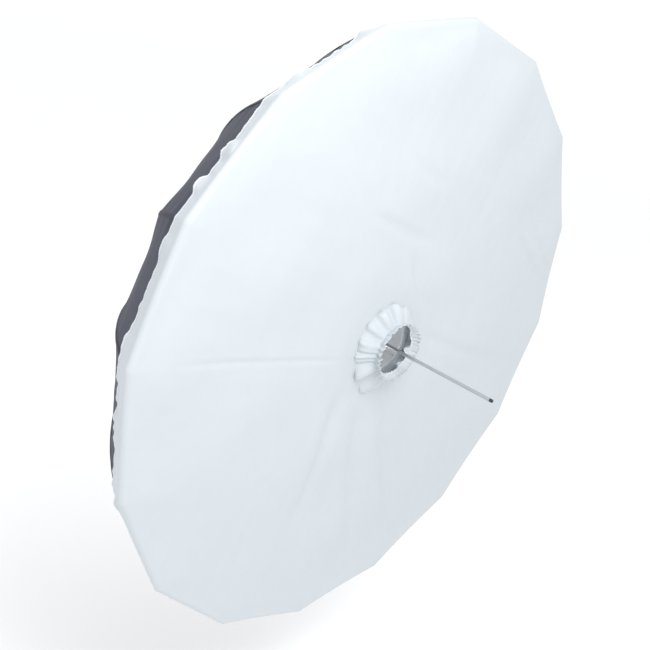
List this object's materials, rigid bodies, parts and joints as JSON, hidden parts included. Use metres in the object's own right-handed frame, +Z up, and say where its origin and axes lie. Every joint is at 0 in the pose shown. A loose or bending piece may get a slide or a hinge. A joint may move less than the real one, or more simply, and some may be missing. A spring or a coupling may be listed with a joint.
{
  "type": "umbrella reflector",
  "caption": "Large round photographic umbrella reflector: curved ribs on a straight shaft, dark canopy, translucent front cover with a central gathered collar.",
  "frame": {"origin": "on the shaft's axis, at the point where an umbrella holder grips the shaft, 170 mm in front of the plane of the rib tips", "axes": "+X along the shaft towards its free end and out of the reflector's open side, +Z up"},
  "size_m": [0.8348, 1.514, 1.514],
  "materials": {
    "shaft_steel": "satin plated tube",
    "black_plastic": "fine moulded grain",
    "spring_wire": "drawn wire",
    "button_grey": "satin",
    "rib_fibreglass": "pultruded fibreglass, satin, with plated end fittings",
    "stretcher_steel": "zinc plated",
    "canopy_fabric": "coated black nylon, slight sheen, pale lining",
    "cover_fabric": "thin translucent white nylon"
  },
  "bodies": {
    "root": {"shaft": "shaft_steel", "shaft_end_cap": "black_plastic", "crown": "black_plastic", "crown_ring": "spring_wire", "crown_cap": "black_plastic", "cover_front": "cover_fabric", "cover_side": "cover_fabric", "cover_collar": "cover_fabric"},
    "runner": {"runner": "black_plastic", "runner_ring": "spring_wire", "button_spring": "spring_wire"},
    "release_button": {"release_button": "button_grey"},
    "rib_01": {"rib_01": "rib_fibreglass", "canopy_01": "canopy_fabric"},
    "stretcher_01": {"stretcher_01": "stretcher_steel"},
    "rib_02": {"rib_02": "rib_fibreglass", "canopy_02": "canopy_fabric"},
    "stretcher_02": {"stretcher_02": "stretcher_steel"},
    "rib_03": {"rib_03": "rib_fibreglass", "canopy_03": "canopy_fabric"},
    "stretcher_03": {"stretcher_03": "stretcher_steel"},
    "rib_04": {"rib_04": "rib_fibreglass", "canopy_04": "canopy_fabric"},
    "stretcher_04": {"stretcher_04": "stretcher_steel"},
    "rib_05": {"rib_05": "rib_fibreglass", "canopy_05": "canopy_fabric"},
    "stretcher_05": {"stretcher_05": "stretcher_steel"},
    "rib_06": {"rib_06": "rib_fibreglass", "canopy_06": "canopy_fabric"},
    "stretcher_06": {"stretcher_06": "stretcher_steel"},
    "rib_07": {"rib_07": "rib_fibreglass", "canopy_07": "canopy_fabric"},
    "stretcher_07": {"stretcher_07": "stretcher_steel"},
    "rib_08": {"rib_08": "rib_fibreglass", "canopy_08": "canopy_fabric"},
    "stretcher_08": {"stretcher_08": "stretcher_steel"},
    "rib_09": {"rib_09": "rib_fibreglass", "canopy_09": "canopy_fabric"},
    "stretcher_09": {"stretcher_09": "stretcher_steel"},
    "rib_10": {"rib_10": "rib_fibreglass", "canopy_10": "canopy_fabric"},
    "stretcher_10": {"stretcher_10": "stretcher_steel"},
    "rib_11": {"rib_11": "rib_fibreglass", "canopy_11": "canopy_fabric"},
    "stretcher_11": {"stretcher_11": "stretcher_steel"},
    "rib_12": {"rib_12": "rib_fibreglass", "canopy_12": "canopy_fabric"},
    "stretcher_12": {"stretcher_12": "stretcher_steel"},
    "rib_13": {"rib_13": "rib_fibreglass", "canopy_13": "canopy_fabric"},
    "stretcher_13": {"stretcher_13": "stretcher_steel"},
    "rib_14": {"rib_14": "rib_fibreglass", "canopy_14": "canopy_fabric"},
    "stretcher_14": {"stretcher_14": "stretcher_steel"},
    "rib_15": {"rib_15": "rib_fibreglass", "canopy_15": "canopy_fabric"},
    "stretcher_15": {"stretcher_15": "stretcher_steel"},
    "rib_16": {"rib_16": "rib_fibreglass", "canopy_16": "canopy_fabric"},
    "stretcher_16": {"stretcher_16": "stretcher_steel"}
  },
  "joints": [
    {"name": "runner_slide", "type": "slide", "parent": "root", "child": "runner", "axis": [1, 0, 0], "range_m": [0, 0.3193], "deforming": ["cover_front", "cover_side", "cover_collar"]},
    {"name": "button_press", "type": "slide", "parent": "runner", "child": "release_button", "axis": [0, 0, -1], "range_m": [0, 0.002], "stiffness_N_per_m": 400, "springref_m": -0.002, "deforming": ["button_spring"]},
    {"name": "rib_hinge_01", "type": "hinge", "parent": "root", "child": "rib_01", "pos_m": [-0.64985, 0, 0.016], "axis": [0, 1, 0], "range_deg": [0, 54.1], "deforming": ["canopy_01"]},
    {"name": "stretcher_hinge_01", "type": "hinge", "parent": "runner", "child": "stretcher_01", "pos_m": [-0.39096, 0, 0.015], "axis": [0, -1, 0], "range_deg": [0, 34.8]},
    {"name": "rib_hinge_02", "type": "hinge", "parent": "root", "child": "rib_02", "pos_m": [-0.64985, -0.00612, 0.01478], "axis": [0, 0.9239, 0.3827], "range_deg": [0, 54.1], "deforming": ["canopy_02"]},
    {"name": "stretcher_hinge_02", "type": "hinge", "parent": "runner", "child": "stretcher_02", "pos_m": [-0.39096, -0.00574, 0.01386], "axis": [0, -0.9239, -0.3827], "range_deg": [0, 34.8]},
    {"name": "rib_hinge_03", "type": "hinge", "parent": "root", "child": "rib_03", "pos_m": [-0.64985, -0.01131, 0.01131], "axis": [0, 0.7071, 0.7071], "range_deg": [0, 54.1], "deforming": ["canopy_03"]},
    {"name": "stretcher_hinge_03", "type": "hinge", "parent": "runner", "child": "stretcher_03", "pos_m": [-0.39096, -0.01061, 0.01061], "axis": [0, -0.7071, -0.7071], "range_deg": [0, 34.8]},
    {"name": "rib_hinge_04", "type": "hinge", "parent": "root", "child": "rib_04", "pos_m": [-0.64985, -0.01478, 0.00612], "axis": [0, 0.3827, 0.9239], "range_deg": [0, 54.1], "deforming": ["canopy_04"]},
    {"name": "stretcher_hinge_04", "type": "hinge", "parent": "runner", "child": "stretcher_04", "pos_m": [-0.39096, -0.01386, 0.00574], "axis": [0, -0.3827, -0.9239], "range_deg": [0, 34.8]},
    {"name": "rib_hinge_05", "type": "hinge", "parent": "root", "child": "rib_05", "pos_m": [-0.64985, -0.016, 0], "axis": [0, 0, 1], "range_deg": [0, 54.1], "deforming": ["canopy_05"]},
    {"name": "stretcher_hinge_05", "type": "hinge", "parent": "runner", "child": "stretcher_05", "pos_m": [-0.39096, -0.015, 0], "axis": [0, 0, -1], "range_deg": [0, 34.8]},
    {"name": "rib_hinge_06", "type": "hinge", "parent": "root", "child": "rib_06", "pos_m": [-0.64985, -0.01478, -0.00612], "axis": [0, -0.3827, 0.9239], "range_deg": [0, 54.1], "deforming": ["canopy_06"]},
    {"name": "stretcher_hinge_06", "type": "hinge", "parent": "runner", "child": "stretcher_06", "pos_m": [-0.39096, -0.01386, -0.00574], "axis": [0, 0.3827, -0.9239], "range_deg": [0, 34.8]},
    {"name": "rib_hinge_07", "type": "hinge", "parent": "root", "child": "rib_07", "pos_m": [-0.64985, -0.01131, -0.01131], "axis": [0, -0.7071, 0.7071], "range_deg": [0, 54.1], "deforming": ["canopy_07"]},
    {"name": "stretcher_hinge_07", "type": "hinge", "parent": "runner", "child": "stretcher_07", "pos_m": [-0.39096, -0.01061, -0.01061], "axis": [0, 0.7071, -0.7071], "range_deg": [0, 34.8]},
    {"name": "rib_hinge_08", "type": "hinge", "parent": "root", "child": "rib_08", "pos_m": [-0.64985, -0.00612, -0.01478], "axis": [0, -0.9239, 0.3827], "range_deg": [0, 54.1], "deforming": ["canopy_08"]},
    {"name": "stretcher_hinge_08", "type": "hinge", "parent": "runner", "child": "stretcher_08", "pos_m": [-0.39096, -0.00574, -0.01386], "axis": [0, 0.9239, -0.3827], "range_deg": [0, 34.8]},
    {"name": "rib_hinge_09", "type": "hinge", "parent": "root", "child": "rib_09", "pos_m": [-0.64985, 0, -0.016], "axis": [0, -1, 0], "range_deg": [0, 54.1], "deforming": ["canopy_09"]},
    {"name": "stretcher_hinge_09", "type": "hinge", "parent": "runner", "child": "stretcher_09", "pos_m": [-0.39096, 0, -0.015], "axis": [0, 1, 0], "range_deg": [0, 34.8]},
    {"name": "rib_hinge_10", "type": "hinge", "parent": "root", "child": "rib_10", "pos_m": [-0.64985, 0.00612, -0.01478], "axis": [0, -0.9239, -0.3827], "range_deg": [0, 54.1], "deforming": ["canopy_10"]},
    {"name": "stretcher_hinge_10", "type": "hinge", "parent": "runner", "child": "stretcher_10", "pos_m": [-0.39096, 0.00574, -0.01386], "axis": [0, 0.9239, 0.3827], "range_deg": [0, 34.8]},
    {"name": "rib_hinge_11", "type": "hinge", "parent": "root", "child": "rib_11", "pos_m": [-0.64985, 0.01131, -0.01131], "axis": [0, -0.7071, -0.7071], "range_deg": [0, 54.1], "deforming": ["canopy_11"]},
    {"name": "stretcher_hinge_11", "type": "hinge", "parent": "runner", "child": "stretcher_11", "pos_m": [-0.39096, 0.01061, -0.01061], "axis": [0, 0.7071, 0.7071], "range_deg": [0, 34.8]},
    {"name": "rib_hinge_12", "type": "hinge", "parent": "root", "child": "rib_12", "pos_m": [-0.64985, 0.01478, -0.00612], "axis": [0, -0.3827, -0.9239], "range_deg": [0, 54.1], "deforming": ["canopy_12"]},
    {"name": "stretcher_hinge_12", "type": "hinge", "parent": "runner", "child": "stretcher_12", "pos_m": [-0.39096, 0.01386, -0.00574], "axis": [0, 0.3827, 0.9239], "range_deg": [0, 34.8]},
    {"name": "rib_hinge_13", "type": "hinge", "parent": "root", "child": "rib_13", "pos_m": [-0.64985, 0.016, 0], "axis": [0, 0, -1], "range_deg": [0, 54.1], "deforming": ["canopy_13"]},
    {"name": "stretcher_hinge_13", "type": "hinge", "parent": "runner", "child": "stretcher_13", "pos_m": [-0.39096, 0.015, 0], "axis": [0, 0, 1], "range_deg": [0, 34.8]},
    {"name": "rib_hinge_14", "type": "hinge", "parent": "root", "child": "rib_14", "pos_m": [-0.64985, 0.01478, 0.00612], "axis": [0, 0.3827, -0.9239], "range_deg": [0, 54.1], "deforming": ["canopy_14"]},
    {"name": "stretcher_hinge_14", "type": "hinge", "parent": "runner", "child": "stretcher_14", "pos_m": [-0.39096, 0.01386, 0.00574], "axis": [0, -0.3827, 0.9239], "range_deg": [0, 34.8]},
    {"name": "rib_hinge_15", "type": "hinge", "parent": "root", "child": "rib_15", "pos_m": [-0.64985, 0.01131, 0.01131], "axis": [0, 0.7071, -0.7071], "range_deg": [0, 54.1], "deforming": ["canopy_15"]},
    {"name": "stretcher_hinge_15", "type": "hinge", "parent": "runner", "child": "stretcher_15", "pos_m": [-0.39096, 0.01061, 0.01061], "axis": [0, -0.7071, 0.7071], "range_deg": [0, 34.8]},
    {"name": "rib_hinge_16", "type": "hinge", "parent": "root", "child": "rib_16", "pos_m": [-0.64985, 0.00612, 0.01478], "axis": [0, 0.9239, -0.3827], "range_deg": [0, 54.1], "deforming": ["canopy_16"]},
    {"name": "stretcher_hinge_16", "type": "hinge", "parent": "runner", "child": "stretcher_16", "pos_m": [-0.39096, 0.00574, 0.01386], "axis": [0, -0.9239, 0.3827], "range_deg": [0, 34.8]}
  ],
  "couplings": [
    {"joint": "rib_hinge_01", "follows": "runner_slide", "rad_per_m": 2.9511},
    {"joint": "stretcher_hinge_01", "follows": "runner_slide", "rad_per_m": 1.896},
    {"joint": "rib_hinge_02", "follows": "runner_slide", "rad_per_m": 2.9511},
    {"joint": "stretcher_hinge_02", "follows": "runner_slide", "rad_per_m": 1.896},
    {"joint": "rib_hinge_03", "follows": "runner_slide", "rad_per_m": 2.9511},
    {"joint": "stretcher_hinge_03", "follows": "runner_slide", "rad_per_m": 1.896},
    {"joint": "rib_hinge_04", "follows": "runner_slide", "rad_per_m": 2.9511},
    {"joint": "stretcher_hinge_04", "follows": "runner_slide", "rad_per_m": 1.896},
    {"joint": "rib_hinge_05", "follows": "runner_slide", "rad_per_m": 2.9511},
    {"joint": "stretcher_hinge_05", "follows": "runner_slide", "rad_per_m": 1.896},
    {"joint": "rib_hinge_06", "follows": "runner_slide", "rad_per_m": 2.9511},
    {"joint": "stretcher_hinge_06", "follows": "runner_slide", "rad_per_m": 1.896},
    {"joint": "rib_hinge_07", "follows": "runner_slide", "rad_per_m": 2.9511},
    {"joint": "stretcher_hinge_07", "follows": "runner_slide", "rad_per_m": 1.896},
    {"joint": "rib_hinge_08", "follows": "runner_slide", "rad_per_m": 2.9511},
    {"joint": "stretcher_hinge_08", "follows": "runner_slide", "rad_per_m": 1.896},
    {"joint": "rib_hinge_09", "follows": "runner_slide", "rad_per_m": 2.9511},
    {"joint": "stretcher_hinge_09", "follows": "runner_slide", "rad_per_m": 1.896},
    {"joint": "rib_hinge_10", "follows": "runner_slide", "rad_per_m": 2.9511},
    {"joint": "stretcher_hinge_10", "follows": "runner_slide", "rad_per_m": 1.896},
    {"joint": "rib_hinge_11", "follows": "runner_slide", "rad_per_m": 2.9511},
    {"joint": "stretcher_hinge_11", "follows": "runner_slide", "rad_per_m": 1.896},
    {"joint": "rib_hinge_12", "follows": "runner_slide", "rad_per_m": 2.9511},
    {"joint": "stretcher_hinge_12", "follows": "runner_slide", "rad_per_m": 1.896},
    {"joint": "rib_hinge_13", "follows": "runner_slide", "rad_per_m": 2.9511},
    {"joint": "stretcher_hinge_13", "follows": "runner_slide", "rad_per_m": 1.896},
    {"joint": "rib_hinge_14", "follows": "runner_slide", "rad_per_m": 2.9511},
    {"joint": "stretcher_hinge_14", "follows": "runner_slide", "rad_per_m": 1.896},
    {"joint": "rib_hinge_15", "follows": "runner_slide", "rad_per_m": 2.9511},
    {"joint": "stretcher_hinge_15", "follows": "runner_slide", "rad_per_m": 1.896},
    {"joint": "rib_hinge_16", "follows": "runner_slide", "rad_per_m": 2.9511},
    {"joint": "stretcher_hinge_16", "follows": "runner_slide", "rad_per_m": 1.896}
  ]
}
